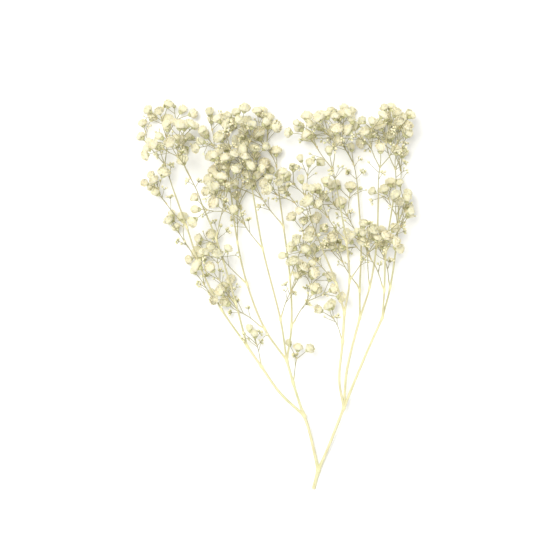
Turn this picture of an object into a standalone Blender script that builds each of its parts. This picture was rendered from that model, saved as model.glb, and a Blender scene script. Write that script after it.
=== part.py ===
"""A cut stem of double gypsophila, dried and bleached, lying on a flat surface.

The stem forks close to its cut end into limbs, and the limbs fork into branches. At each joint of a branch a
spray leaves it: a cyme, in which every shoot ends in a bloom and bears two side shoots below it. The frame has
+Y along the stem, +Z up from the surface and its origin on the surface, below the middle of the part's box.
"""

import math
import random
from dataclasses import dataclass

import bmesh
import bpy
import numpy as np
from mathutils import Matrix, Vector
from mathutils.geometry import interpolate_bezier

MM = 0.001
UP = Vector((0, 0, 1))

# Where the cut end lies, from the middle of the part's box
CUT_END = Vector((24.6, -123.0, 0)) * MM

# Clear space between one piece and the next, where they meet and where they pass
JOINT_GAP = 0.3 * MM
PASSING_GAP = 0.45 * MM

# The woody frame. Each piece starts at the last joint of the piece named first, or at the cut end. Then come
# its radius at the foot and at the tip, and its joints, in millimetres: to the right of the cut end, along the
# stem and above the surface. Where a joint bears a spray, it goes on with how many times the spray divides,
# and the side that it leaves on, or "end" where it carries on from the end of the branch.
FRAME = {
    "main_stem": (None, 1.15, 1.10, [(0, 0, 0.9), (3, 12, 3)]),
    "left_limb": ("main_stem", 0.95, 0.90, [(-3, 38, 8), (-6, 47, 10)]),
    "right_limb": ("main_stem", 0.95, 0.90, [(9, 26, 6), (19, 52, 11)]),
    "left_leader": ("left_limb", 0.80, 0.75, [(-9, 55, 12), (-13, 68, 15, 2, "right"), (-17, 82, 18)]),
    "left_side_limb": ("left_limb", 0.80, 0.70, [(-21, 61, 11), (-33, 78, 13, 2, "right"), (-42, 91, 15)]),
    "right_inner_limb": ("right_limb", 0.80, 0.75, [(16, 70, 17), (18, 94, 22, 2, "left"), (19, 112, 26)]),
    "right_middle_limb": ("right_limb", 0.75, 0.70, [(21, 76, 12), (29, 109, 15)]),
    "right_outer_limb": ("right_limb", 0.85, 0.75, [(32, 84, 16), (43, 109, 20)]),
    "branch_far_left": (
        "left_side_limb", 0.60, 0.45,
        [(-58, 114, 16, 3, "down"), (-71, 140, 17, 3, "down"), (-80, 166, 15, 3, "left"), (-88, 188, 12, 4, "end")],
    ),
    "branch_left": (
        "left_side_limb", 0.60, 0.45,
        [(-49, 118, 21, 3, "left"), (-61, 158, 29, 4, "right"), (-70, 180, 33, 4, "end")],
    ),
    "branch_left_low": (
        "left_leader", 0.60, 0.45,
        [(-31, 102, 16, 3, "left"), (-42, 130, 11, 3, "left"), (-48, 156, 12, 4, "down"), (-52, 186, 14, 4, "end")],
    ),
    "branch_left_top": (
        "left_leader", 0.60, 0.45,
        [(-21, 108, 25, 3, "right"), (-32, 152, 33, 4, "left"), (-38, 186, 35, 4, "end")],
    ),
    "branch_centre": (
        "left_leader", 0.60, 0.45,
        [(-14, 104, 18, 3, "right"), (-15, 134, 15, 3, "right"), (-19, 166, 12, 4, "left"), (-22, 188, 11, 4, "end")],
    ),
    "branch_inner": ("right_inner_limb", 0.60, 0.45, [(14, 130, 29, 3, "left"), (5, 152, 31, 4, "end")]),
    "branch_right_top": (
        "right_inner_limb", 0.60, 0.45,
        [(22, 132, 31, 3, "right"), (20, 156, 34, 3, "left"), (15, 184, 36, 4, "end")],
    ),
    "branch_right_low": (
        "right_middle_limb", 0.60, 0.45,
        [(29, 126, 12, 3, "left"), (30, 156, 9, 3, "left"), (28, 188, 8, 4, "end")],
    ),
    "branch_right": (
        "right_middle_limb", 0.60, 0.45,
        [(35, 128, 20, 3, "left"), (39, 154, 26, 3, "right"), (40, 184, 32, 4, "end")],
    ),
    "branch_right_side": (
        "right_outer_limb", 0.60, 0.45,
        [(44, 126, 24, 3, "left"), (45, 150, 23, 3, "right"), (50, 184, 21, 4, "end")],
    ),
    "branch_far_right": (
        "right_outer_limb", 0.60, 0.45,
        [(48, 128, 16, 3, "left"), (52, 154, 12, 3, "up"), (54, 184, 10, 4, "end")],
    ),
}
PATH_STEP = 15 * MM
THICK_STEM = 0.7 * MM
SHORTEST_FOOT = 3.6 * MM

# At each joint the stem swells to this many times its radius, over this length to either side
SWELLING = 1.4
SWELLING_REACH = 1.8 * MM

# The crown's outline, in millimetres from the cut end: its edges slope up to a height, then stand upright
CROWN_LEFT = ((-57, 95), (-113, 200))
CROWN_RIGHT = ((40, 95), (64, 170))
CROWN_TOP = 249
CROWN_DEPTH = 56

# A spray. Shoot lengths in millimetres and the angles at which shoots leave are for a shoot that divides no
# more, once more and so on. Side shoots leave their shoot at a share of its length.
SHOOT_LENGTHS = [(9.0, 12.5), (16.0, 21.0), (24.0, 30.0), (26.0, 32.0)]
FORK_ANGLES = [math.radians(angle) for angle in (36, 30, 27)]
FORK_SHARE = 0.60
SPRAY_ANGLE = math.radians(27)
SIDES = {"right": 0, "down": math.pi / 2, "left": math.pi, "up": -math.pi / 2}
ANGLE_PLAY = math.radians(5)
TURN_PLAY = math.radians(25)
FLATNESS = 0.75
TWIG_RADIUS = 0.42 * MM
ROOT_RADIUS = 0.20 * MM
BUD_SHARE = 0.12
BUD_RADIUS = 1.3 * MM
BLOOM_RADII = (3.0, 4.3)
HALF_OPEN_SHARE = 0.3
PRESSED_BY = 1.0 * MM
FORK_REACH = 4 * MM
FOOT_REACH = 1.5 * MM
TRIES = 100

# The rings of a bloom, from the calyx up: how many points, and the radius and height of the points in turn,
# as shares of the bloom's radius
OPEN_BLOOM = [(10, (0.98, 0.42), (0.20, -0.05)), (5, (0.62, 0.62), (0.76, 0.76))]
HALF_OPEN_BLOOM = [(10, (0.74, 0.36), (0.60, 0.10)), (5, (0.42, 0.42), (0.90, 0.90))]
CALYX_HEIGHT = -0.85
BLOOM_CENTRE_HEIGHT = 0.20
BUD = [(5, (0.85, 0.85), (0.1, 0.1))]
BUD_TIP_HEIGHT = 1.0


@dataclass
class Shoot:
    """A twig from its foot to the middle of what it ends in, and the point where its side shoots leave it."""

    foot: Vector
    tip: Vector
    kind: str
    radius: float

    def fork(self):
        return self.foot.lerp(self.tip, FORK_SHARE)

    def along(self):
        return (self.tip - self.foot).normalized()


class Space:
    """The space that is taken: thick lines, each with the name of the piece that it belongs to."""

    def __init__(self):
        self.starts = []
        self.ends = []
        self.radii = []
        self.owners = []

    def take(self, owner, start, end, radius):
        self.starts.append(tuple(start))
        self.ends.append(tuple(end))
        self.radii.append(radius)
        self.owners.append(owner)

    def take_path(self, owner, path, radius):
        for start, end in zip(path, path[1:]):
            self.take(owner, start, end, radius)

    def is_clear(self, chosen, start, end, radius):
        """Whether a thick line passes clear of the chosen ones."""
        if not chosen.any():
            return True
        starts = np.array(self.starts)[chosen]
        ends = np.array(self.ends)[chosen]
        radii = np.array(self.radii)[chosen]
        gaps = line_distances(np.array(start), np.array(end), starts, ends) - radii - radius
        return gaps.min() > PASSING_GAP

    def has_room_for(self, owner, shoot, is_first):
        """Whether a shoot is clear of its own spray past the fork it leaves, and of all else past its foot."""
        own = np.array([name == owner for name in self.owners])
        past_fork = shoot.foot + shoot.along() * FORK_REACH
        past_foot = shoot.foot + shoot.along() * (FOOT_REACH if is_first else 0)
        return (
            self.is_clear(own, past_fork, shoot.tip, TWIG_RADIUS)
            and self.is_clear(~own, past_foot, shoot.tip, TWIG_RADIUS)
            and self.is_clear(own | ~own, shoot.tip, shoot.tip, shoot.radius)
        )

    def take_shoot(self, owner, shoot):
        self.take(owner, shoot.foot, shoot.tip, TWIG_RADIUS)
        self.take(owner, shoot.tip, shoot.tip, shoot.radius)


def line_distances(start, end, starts, ends):
    """The shortest distances from one straight line to each of many."""
    tiny = 1e-18
    along = end - start
    alongs = ends - starts
    between = start - starts
    square = max(along @ along, tiny)
    squares = np.maximum(np.sum(alongs * alongs, axis=1), tiny)
    products = alongs @ along
    ahead = between @ along
    aheads = np.sum(alongs * between, axis=1)
    spread = np.maximum(square * squares - products**2, tiny)
    shares = np.clip((products * aheads - squares * ahead) / spread, 0, 1)
    others = np.clip((products * shares + aheads) / squares, 0, 1)
    shares = np.clip((products * others - ahead) / square, 0, 1)
    return np.linalg.norm(between + shares[:, None] * along - others[:, None] * alongs, axis=1)


def place(joint):
    """A joint of the frame as a point of the part."""
    return CUT_END + Vector(joint[:3]) * MM


def smooth_path(points):
    """Points along a smooth curve through the given ones."""
    last = len(points) - 1
    tangents = [(points[min(i + 1, last)] - points[max(i - 1, 0)]).normalized() for i in range(last + 1)]
    path = [points[0]]
    for i in range(last):
        reach = (points[i + 1] - points[i]).length
        first_handle = points[i] + tangents[i] * reach / 3
        second_handle = points[i + 1] - tangents[i + 1] * reach / 3
        count = max(2, round(reach / PATH_STEP) + 1)
        path += interpolate_bezier(points[i], first_handle, second_handle, points[i + 1], count)[1:]
    return path


def split_path(path, distance):
    """The stretches of a path before and after a distance along it."""
    before = [path[0]]
    for i, point in enumerate(path[1:], 1):
        step = (point - before[-1]).length
        if step > distance:
            cut = before[-1].lerp(point, distance / step)
            return before + [cut], [cut] + path[i:]
        distance -= step
        before.append(point)
    return before, []


def frame_paths():
    """The middle line of each piece of the woody frame, from the joint that it leaves."""
    paths = {}
    for name, (parent, _, _, joints) in FRAME.items():
        start = [paths[parent][-1]] if parent else []
        paths[name] = smooth_path(start + [place(joint) for joint in joints])
    return paths


def foot_length(name, paths):
    """How much of a piece its parent holds: up to where it is clear of the other pieces that leave there."""
    parent, radius = FRAME[name][:2]
    along = paths[name][1] - paths[name][0]
    lengths = [SHORTEST_FOOT]
    for other, (other_parent, other_radius, _, _) in FRAME.items():
        if other_parent == parent and other != name:
            angle = along.angle(paths[other][1] - paths[other][0])
            lengths.append(((radius + other_radius) * MM + PASSING_GAP) / (2 * math.sin(angle / 2)))
    return max(lengths)


def leaning(along, angle, turn):
    """A direction at an angle to another, on the side that a turn about that one gives, and rather level."""
    side = Matrix.Rotation(turn, 3, along) @ along.cross(UP).normalized()
    direction = along * math.cos(angle) + side * math.sin(angle)
    direction.z *= FLATNESS
    return direction.normalized()


def is_in_crown(point, radius):
    """Whether a ball lies inside the outline of the crown."""
    x, y, z = (point - CUT_END) / MM
    reach = radius / MM
    (left_foot, foot_height), (left, left_height) = CROWN_LEFT
    (right_foot, _), (right, right_height) = CROWN_RIGHT
    left_edge = left_foot + (left - left_foot) * min(1, (y - foot_height) / (left_height - foot_height))
    right_edge = right_foot + (right - right_foot) * min(1, (y - foot_height) / (right_height - foot_height))
    return left_edge < x - reach and x + reach < right_edge and y + reach < CROWN_TOP and z + reach < CROWN_DEPTH


def draw_shoot(rng, foot, along, angle, turn, orders, kind, looseness):
    """One way in which a shoot may grow; the play in its direction grows with the looseness."""
    length = rng.uniform(*SHOOT_LENGTHS[orders - 1]) * MM
    angle += rng.uniform(-1, 1) * ANGLE_PLAY * (1 + looseness)
    turn += rng.uniform(-1, 1) * TURN_PLAY * (1 + 2 * looseness)
    radius = BUD_RADIUS if kind == "bud" else rng.uniform(*BLOOM_RADII) * MM
    tip = foot + leaning(along, angle, turn) * length
    tip.z = max(tip.z, radius - (PRESSED_BY if kind == "open" else -JOINT_GAP))
    return Shoot(foot, tip, kind, radius)


def grow(space, rng, owner, foot, along, angle, turn, orders, is_first=False):
    """Grow a shoot where there is room, then its side shoots, and return them all."""
    kind = "half_open" if rng.random() < HALF_OPEN_SHARE else "open"
    if orders == 1 and rng.random() < BUD_SHARE:
        kind = "bud"
    for attempt in range(TRIES):
        shoot = draw_shoot(rng, foot, along, angle, turn, orders, kind, 3 * attempt / TRIES)
        if is_in_crown(shoot.tip, shoot.radius) and space.has_room_for(owner, shoot, is_first):
            break
    else:
        return []
    space.take_shoot(owner, shoot)
    shoots = [shoot]
    if orders > 1:
        next_angle = FORK_ANGLES[orders - 2]
        for next_turn in (turn + math.pi / 2, turn - math.pi / 2):
            shoots += grow(space, rng, owner, shoot.fork(), shoot.along(), next_angle, next_turn, orders - 1)
    return shoots


def grow_sprays(paths):
    """Grow the spray of each joint. Returns their shoots, and the feet that the branches hold."""
    space = Space()
    for name, path in paths.items():
        space.take_path(name, path, FRAME[name][1] * MM)
    sprays = {}
    feet = {name: [] for name in FRAME}
    for name, (_, _, _, joints) in reversed(FRAME.items()):
        bearing = [joint for joint in joints if len(joint) > 3]
        for number, joint in reversed(list(enumerate(bearing, 1))):
            at = place(joint)
            orders, side = joint[3:]
            spray = f"{name}_spray_{number}"
            rng = random.Random(spray)
            nearest = min(range(1, len(paths[name])), key=lambda i: (paths[name][i] - at).length)
            along = (paths[name][nearest] - paths[name][nearest - 1]).normalized()
            turn = rng.uniform(0, math.pi)
            if side != "end":
                turn = SIDES[side] + rng.uniform(-1, 1) * TURN_PLAY
                along = leaning(along, SPRAY_ANGLE, turn)
                feet[name].append((at, at + along * SHORTEST_FOOT))
                space.take(spray, *feet[name][-1], TWIG_RADIUS)
                at = feet[name][-1][1]
            start = at + along * JOINT_GAP
            sprays[spray] = grow(space, rng, spray, start, along, 0, turn, orders, True)
    return sprays, feet


def mesh_object(name, bm, collection):
    """A mesh object of what a bmesh holds."""
    press_flat(bm)
    bmesh.ops.recalc_face_normals(bm, faces=bm.faces)
    mesh = bpy.data.meshes.new(name)
    bm.to_mesh(mesh)
    bm.free()
    made = bpy.data.objects.new(name, mesh)
    collection.objects.link(made)
    return made


def with_swellings(path, joints):
    """A path with points added to either side of its joints, and how far each point swells the tube."""
    points = []
    swellings = []
    for i, point in enumerate(path):
        is_joint = any((point - joint).length < JOINT_GAP for joint in joints)
        if is_joint and i > 0:
            points.append(point + (path[i - 1] - point).normalized() * SWELLING_REACH)
            swellings.append(1)
        points.append(point)
        swellings.append(SWELLING if is_joint else 1)
        if is_joint and 0 < i:
            onward = path[i + 1] - point if i < len(path) - 1 else point - path[i - 1]
            points.append(point + onward.normalized() * SWELLING_REACH)
            swellings.append(1)
    return points, swellings


def tube(path, foot_radius, tip_radius, joints, collection):
    """A tube along a path, which swells at its joints, as a closed mesh."""
    points, swellings = with_swellings(path, joints)
    curve = bpy.data.curves.new("tube", "CURVE")
    curve.dimensions = "3D"
    curve.bevel_depth = foot_radius
    curve.bevel_resolution = 1 if foot_radius > THICK_STEM else 0
    curve.use_fill_caps = True
    spline = curve.splines.new("POLY")
    spline.points.add(len(points) - 1)
    for i, point in enumerate(points):
        taper = 1 + (tip_radius / foot_radius - 1) * i / (len(points) - 1)
        spline.points[i].co = (*point, 1)
        spline.points[i].radius = taper * swellings[i]
    guide = bpy.data.objects.new("guide", curve)
    collection.objects.link(guide)
    bpy.context.view_layer.update()
    mesh = bpy.data.meshes.new_from_object(guide.evaluated_get(bpy.context.evaluated_depsgraph_get()))
    bpy.data.objects.remove(guide)
    bm = bmesh.new()
    bm.from_mesh(mesh)
    bmesh.ops.remove_doubles(bm, verts=bm.verts, dist=1e-6)
    return mesh_object("tube", bm, collection)


def ring(bm, at, along, count, radii, heights, phase=0):
    """A ring of points round an axis, whose radii and heights take turns."""
    upright = along.to_track_quat("Z", "Y").to_matrix().to_4x4()
    matrix = Matrix.Translation(at) @ upright @ Matrix.Rotation(phase, 4, "Z")
    made = bmesh.ops.create_circle(bm, segments=count, radius=1, matrix=Matrix.Identity(4))
    for i, vert in enumerate(made["verts"]):
        scaled = Vector((vert.co.x * radii[i % 2], vert.co.y * radii[i % 2], heights[i % 2]))
        vert.co = matrix @ scaled
    return list({edge for vert in made["verts"] for edge in vert.link_edges})


def shoot_solid(shoot, is_first, rng, collection):
    """A three-sided twig that opens into a calyx, petals and an inner tuft, or ends in a bud."""
    bm = bmesh.new()
    along = shoot.along()
    size = shoot.radius
    root = TWIG_RADIUS if is_first else ROOT_RADIUS
    rings = [
        ring(bm, shoot.foot, along, 3, (root,) * 2, (0, 0)),
        ring(bm, shoot.tip + along * CALYX_HEIGHT * size, along, 3, (TWIG_RADIUS,) * 2, (0, 0)),
    ]
    bmesh.ops.edgeloop_fill(bm, edges=rings[0])
    phase = rng.uniform(0, 2 * math.pi)
    outline = {"open": OPEN_BLOOM, "half_open": HALF_OPEN_BLOOM, "bud": BUD}[shoot.kind]
    for count, radii, heights in outline:
        rings.append(
            ring(bm, shoot.tip, along, count, [r * size for r in radii], [h * size for h in heights], phase)
        )
        phase += 2 * math.pi / count
    for lower, upper in zip(rings, rings[1:]):
        bmesh.ops.bridge_loops(bm, edges=lower + upper)
    top = bmesh.ops.edgeloop_fill(bm, edges=rings[-1])["faces"]
    centre = bmesh.ops.poke(bm, faces=top)["verts"][0]
    height = BUD_TIP_HEIGHT if shoot.kind == "bud" else BLOOM_CENTRE_HEIGHT
    centre.co = shoot.tip + along * height * size
    bmesh.ops.triangulate(bm, faces=bm.faces)
    return mesh_object("shoot", bm, collection)


def press_flat(bm):
    """Cut off what reaches below the surface."""
    geometry = bm.verts[:] + bm.edges[:] + bm.faces[:]
    cut = bmesh.ops.bisect_plane(bm, geom=geometry, dist=1e-7, plane_co=(0, 0, 0), plane_no=UP, clear_inner=True)
    edges = [item for item in cut["geom_cut"] if isinstance(item, bmesh.types.BMEdge)]
    if edges:
        bmesh.ops.holes_fill(bm, edges=edges)


def join(name, parts, pieces, material):
    """Unite the objects of a collection into one solid."""
    base = parts.objects[0]
    parts.objects.unlink(base)
    pieces.objects.link(base)
    if parts.objects:
        union = base.modifiers.new("union", "BOOLEAN")
        union.operation = "UNION"
        union.operand_type = "COLLECTION"
        union.collection = parts
        union.solver = "MANIFOLD"
    bpy.context.view_layer.update()
    mesh = bpy.data.meshes.new_from_object(base.evaluated_get(bpy.context.evaluated_depsgraph_get()))
    for used in [base, *parts.objects]:
        bpy.data.objects.remove(used)
    mesh.name = name
    mesh.materials.clear()
    mesh.materials.append(material)
    united = bpy.data.objects.new(name, mesh)
    pieces.objects.link(united)
    return united


def principled(name, colour, roughness):
    """A plain material."""
    material = bpy.data.materials.new(name)
    material.use_nodes = True
    shader = material.node_tree.nodes["Principled BSDF"]
    shader.inputs["Base Color"].default_value = (*colour, 1)
    shader.inputs["Roughness"].default_value = roughness
    return material


def main():
    for old in list(bpy.data.objects):
        bpy.data.objects.remove(old)
    pieces = bpy.data.collections.new("gypsophila_stem")
    parts = bpy.data.collections.new("parts_to_join")
    for collection in (pieces, parts):
        bpy.context.scene.collection.children.link(collection)
    straw = principled("dried_stem", (0.72, 0.66, 0.36), 0.6)
    cream = principled("dried_bloom", (0.80, 0.75, 0.58), 0.85)

    paths = frame_paths()
    sprays, feet = grow_sprays(paths)
    for name, (parent, foot_radius, tip_radius, joints) in FRAME.items():
        own = split_path(paths[name], foot_length(name, paths) + JOINT_GAP)[1] if parent else paths[name]
        swollen = [place(joint) for joint in joints if len(joint) == 5 and joint[4] != "end"]
        if len(joints[-1]) == 3:
            swollen.append(place(joints[-1]))
        tube(own, foot_radius * MM, tip_radius * MM, swollen, parts)
        children = [child for child in FRAME if FRAME[child][0] == name]
        for child in children:
            foot = split_path(paths[child], foot_length(child, paths))[0]
            tube(foot, FRAME[child][1] * MM, FRAME[child][1] * MM, [], parts)
        for foot in feet[name]:
            tube(foot, ROOT_RADIUS, TWIG_RADIUS, [], parts)
        join(name, parts, pieces, straw)
    for name, shoots in sprays.items():
        rng = random.Random(name)
        for shoot in shoots:
            shoot_solid(shoot, shoot is shoots[0], rng, parts)
        join(name, parts, pieces, cream)
    bpy.data.collections.remove(parts)


main()
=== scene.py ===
# %% [markdown]
# # A dried stem of double gypsophila
# Gypsophila, or baby's breath, is cut when its tiny double flowers are open, bleached and dried. What is
# left is a straw-coloured stem that forks again and again, and at every tip a papery cream flower or a
# bud. The solids of the stem are the fixed frame of this lesson. They could be given a finish as they
# are, but their petals are few and thick. So each solid is replaced by a finer piece in the same place,
# and the rule that grew the solids is repeated here to find those places.

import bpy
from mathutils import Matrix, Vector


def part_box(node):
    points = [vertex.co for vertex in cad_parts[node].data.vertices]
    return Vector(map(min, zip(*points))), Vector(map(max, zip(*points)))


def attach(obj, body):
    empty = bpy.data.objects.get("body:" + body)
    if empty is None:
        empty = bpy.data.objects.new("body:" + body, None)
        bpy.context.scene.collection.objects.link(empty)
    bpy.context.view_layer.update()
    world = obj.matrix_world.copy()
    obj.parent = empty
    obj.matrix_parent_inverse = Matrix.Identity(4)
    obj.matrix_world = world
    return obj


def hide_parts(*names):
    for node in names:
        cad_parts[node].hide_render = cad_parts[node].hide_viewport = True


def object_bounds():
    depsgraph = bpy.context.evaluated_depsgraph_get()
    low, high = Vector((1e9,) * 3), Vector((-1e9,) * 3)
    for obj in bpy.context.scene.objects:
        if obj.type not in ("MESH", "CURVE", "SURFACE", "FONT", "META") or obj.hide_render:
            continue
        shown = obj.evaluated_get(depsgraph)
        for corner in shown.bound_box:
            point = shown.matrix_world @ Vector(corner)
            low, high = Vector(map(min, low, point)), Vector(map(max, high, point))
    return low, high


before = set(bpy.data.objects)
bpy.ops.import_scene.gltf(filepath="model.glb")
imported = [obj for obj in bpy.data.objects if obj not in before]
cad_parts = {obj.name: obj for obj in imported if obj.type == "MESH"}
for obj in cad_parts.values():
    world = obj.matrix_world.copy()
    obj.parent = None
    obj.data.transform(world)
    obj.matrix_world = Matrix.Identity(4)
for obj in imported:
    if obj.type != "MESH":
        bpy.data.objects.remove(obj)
cad_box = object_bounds()
sides = [round(side * 1000) for side in cad_box[1] - cad_box[0]]
print(len(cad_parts), "solids, in a box of", sides, "mm")

# %% [markdown]
# ## Modules and units
# Blender's own modules make the meshes and the materials. A table of distances is quicker in numpy. Sizes
# are written in millimetres, as a botanist would measure them, and Blender's own unit is the metre.

# %% Modules and units
import math
import random
from dataclasses import dataclass

import bmesh
import bpy
import numpy as np
from mathutils import Matrix, Vector, noise
from mathutils.geometry import interpolate_bezier

MM = 0.001
UP = Vector((0, 0, 1))
print("Blender measures in metres, so a millimetre is", MM)

# %% [markdown]
# ## The camera
# The stem lies on a table and is seen from straight above. A camera could be set by eye, but here the
# frame is known: it takes in 350 mm of the table. A long lens far away keeps the high flowers about as
# large as the low ones, so the lens is worked out from the distance and the width of the view.

# %% The camera
CUT_END = Vector((24.6, -123.0, 0)) * MM
VIEW_WIDTH = 350 * MM
VIEW_MIDDLE = CUT_END + Vector((-21.25, 132.5, 25)) * MM
CAMERA_DISTANCE = 1.6


def add_object(name, data):
    """Put a camera, a lamp or a mesh into the scene."""
    made = bpy.data.objects.new(name, data)
    bpy.context.scene.collection.objects.link(made)
    return made


camera = add_object("camera", bpy.data.cameras.new("camera"))
camera.data.lens = camera.data.sensor_width * CAMERA_DISTANCE / VIEW_WIDTH
camera.location = VIEW_MIDDLE + UP * CAMERA_DISTANCE
bpy.context.scene.camera = camera
print(f"a lens of {camera.data.lens:.0f} mm at {CAMERA_DISTANCE} m")

# %% [markdown]
# ## Colours and nodes
# Colours are picked on a screen, so they are written as sRGB hex values, while Blender mixes light in
# linear values. One function turns the first into the second. A second function adds any kind of shader
# node: it sets the node's properties, and fills each socket with a value or links it to another node's
# output. A third starts a material, because everything here is more or less matt.

# %% Colours and nodes
def srgb(hex_value):
    """An sRGB hex colour as linear red, green and blue, and an alpha of 1."""
    channels = [int(hex_value[i : i + 2], 16) / 255 for i in (1, 3, 5)]
    return (*(c / 12.92 if c < 0.04045 else ((c + 0.055) / 1.055) ** 2.4 for c in channels), 1)


def add_node(tree, kind, sockets, **properties):
    """Add a node, set its properties, and fill its sockets with values or links."""
    node = tree.nodes.new(kind)
    for name, value in properties.items():
        setattr(node, name, value)
    for key, value in sockets.items():
        if isinstance(value, bpy.types.NodeSocket):
            tree.links.new(value, node.inputs[key])
        else:
            node.inputs[key].default_value = value
    return node


def matt_material(name, roughness, gloss):
    """A material with only a Principled shader. Returns it, its node tree and the shader."""
    material = bpy.data.materials.new(name)
    material.use_nodes = True
    shader = material.node_tree.nodes["Principled BSDF"]
    shader.inputs["Roughness"].default_value = roughness
    shader.inputs["Specular IOR Level"].default_value = gloss
    return material, material.node_tree, shader


# The mix node holds a pair of sockets for each kind of value. These are its pair for colours.
COLOUR_A, COLOUR_B, MIXED = 6, 7, 2
print("the grey #808080 is", round(srgb("#808080")[0], 3), "in linear light")

# %% [markdown]
# ## The table and the light
# The stem lies on a white sweep under soft studio light. A sheet of white paper could be lit by one lamp,
# but a bright sky all round fills the shadows between the flowers, as a light tent does. A large lamp
# close to the line of the camera, a little to the upper left, then lights the petals from the front.
# Their shadows fall behind them, so the table stays white and only the gaps are dark.

# %% The table and the light
FLOOR_SIZE = 6.0
FLOOR_DROP = 0.1 * MM
SKY_STRENGTH = 0.85
LAMP_SIZE = 0.8
LAMP_POWER = 42.0
LAMP_PLACE = Vector((-0.45, 0.40, 2.3))


def mesh_of(name, bm):
    """Turn a finished bmesh into a mesh."""
    mesh = bpy.data.meshes.new(name)
    bm.to_mesh(mesh)
    bm.free()
    return mesh


bm = bmesh.new()
bmesh.ops.create_grid(bm, x_segments=1, y_segments=1, size=FLOOR_SIZE / 2)
bmesh.ops.translate(bm, verts=bm.verts, vec=-UP * FLOOR_DROP)
floor = add_object("floor", mesh_of("floor", bm))

white_card, _, card_shader = matt_material("white_card", 0.9, 0.5)
card_shader.inputs["Base Color"].default_value = srgb("#f6f6f4")
floor.data.materials.append(white_card)

sky = bpy.data.worlds.new("sky")
sky.use_nodes = True
background = sky.node_tree.nodes["Background"]
background.inputs["Strength"].default_value = SKY_STRENGTH
background.inputs["Color"].default_value = srgb("#ffffff")
bpy.context.scene.world = sky
bpy.context.scene.view_settings.view_transform = "Standard"

lamp = add_object("lamp", bpy.data.lights.new("lamp", "AREA"))
lamp.data.size = LAMP_SIZE
lamp.data.energy = LAMP_POWER
lamp.location = LAMP_PLACE
lamp.rotation_euler = (-LAMP_PLACE).to_track_quat("-Z", "Y").to_euler()
print("a sky of strength", SKY_STRENGTH, "and a lamp of", LAMP_POWER, "watts")

# %% [markdown]
# ## The plan of the stem
# A gypsophila stem forks close to its cut end into limbs, and the limbs into branches. Each of them is a
# chain of joints, and at each joint a branch may bear a spray of flowers. The joints are the ones that
# the solids were built from: to the right of the cut end, along the stem and above the table, in
# millimetres. Where a joint bears a spray, it goes on with how many times the spray divides, and with the
# side that it leaves on.

# %% The plan of the stem
# Each name has what it grows from, its radius at the foot and at the tip, and its joints.
FRAME = {
    "main_stem": (None, 1.15, 1.10, [(0, 0, 0.9), (3, 12, 3)]),
    "left_limb": ("main_stem", 0.95, 0.90, [(-3, 38, 8), (-6, 47, 10)]),
    "right_limb": ("main_stem", 0.95, 0.90, [(9, 26, 6), (19, 52, 11)]),
    "left_leader": ("left_limb", 0.80, 0.75, [(-9, 55, 12), (-13, 68, 15, 2, "right"), (-17, 82, 18)]),
    "left_side_limb": ("left_limb", 0.80, 0.70, [(-21, 61, 11), (-33, 78, 13, 2, "right"), (-42, 91, 15)]),
    "right_inner_limb": ("right_limb", 0.80, 0.75, [(16, 70, 17), (18, 94, 22, 2, "left"), (19, 112, 26)]),
    "right_middle_limb": ("right_limb", 0.75, 0.70, [(21, 76, 12), (29, 109, 15)]),
    "right_outer_limb": ("right_limb", 0.85, 0.75, [(32, 84, 16), (43, 109, 20)]),
    "branch_far_left": (
        "left_side_limb", 0.60, 0.45,
        [
            (-58, 114, 16, 3, "down"), (-71, 140, 17, 3, "down"),
            (-80, 166, 15, 3, "left"), (-88, 188, 12, 4, "end"),
        ],
    ),
    "branch_left": (
        "left_side_limb", 0.60, 0.45,
        [(-49, 118, 21, 3, "left"), (-61, 158, 29, 4, "right"), (-70, 180, 33, 4, "end")],
    ),
    "branch_left_low": (
        "left_leader", 0.60, 0.45,
        [
            (-31, 102, 16, 3, "left"), (-42, 130, 11, 3, "left"),
            (-48, 156, 12, 4, "down"), (-52, 186, 14, 4, "end"),
        ],
    ),
    "branch_left_top": (
        "left_leader", 0.60, 0.45,
        [(-21, 108, 25, 3, "right"), (-32, 152, 33, 4, "left"), (-38, 186, 35, 4, "end")],
    ),
    "branch_centre": (
        "left_leader", 0.60, 0.45,
        [
            (-14, 104, 18, 3, "right"), (-15, 134, 15, 3, "right"),
            (-19, 166, 12, 4, "left"), (-22, 188, 11, 4, "end"),
        ],
    ),
    "branch_inner": ("right_inner_limb", 0.60, 0.45, [(14, 130, 29, 3, "left"), (5, 152, 31, 4, "end")]),
    "branch_right_top": (
        "right_inner_limb", 0.60, 0.45,
        [(22, 132, 31, 3, "right"), (20, 156, 34, 3, "left"), (15, 184, 36, 4, "end")],
    ),
    "branch_right_low": (
        "right_middle_limb", 0.60, 0.45,
        [(29, 126, 12, 3, "left"), (30, 156, 9, 3, "left"), (28, 188, 8, 4, "end")],
    ),
    "branch_right": (
        "right_middle_limb", 0.60, 0.45,
        [(35, 128, 20, 3, "left"), (39, 154, 26, 3, "right"), (40, 184, 32, 4, "end")],
    ),
    "branch_right_side": (
        "right_outer_limb", 0.60, 0.45,
        [(44, 126, 24, 3, "left"), (45, 150, 23, 3, "right"), (50, 184, 21, 4, "end")],
    ),
    "branch_far_right": (
        "right_outer_limb", 0.60, 0.45,
        [(48, 128, 16, 3, "left"), (52, 154, 12, 3, "up"), (54, 184, 10, 4, "end")],
    ),
}
print(len(FRAME), "limbs and branches")

# %% [markdown]
# ## Smooth lines through the joints
# A stem bends a little at each joint and never turns sharply between them. Straight runs would look like
# wire, so the middle line is a Bezier curve whose handles point along the line from the joint before to
# the joint after. The growth rule reads it at long steps, and the pieces are modelled on the same curve
# at short ones.

# %% Smooth lines through the joints
PATH_STEP = 15 * MM
FINE_STEP = 2.5 * MM


def place(joint):
    """A joint of the plan as a point of the part."""
    return CUT_END + Vector(joint[:3]) * MM


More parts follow.
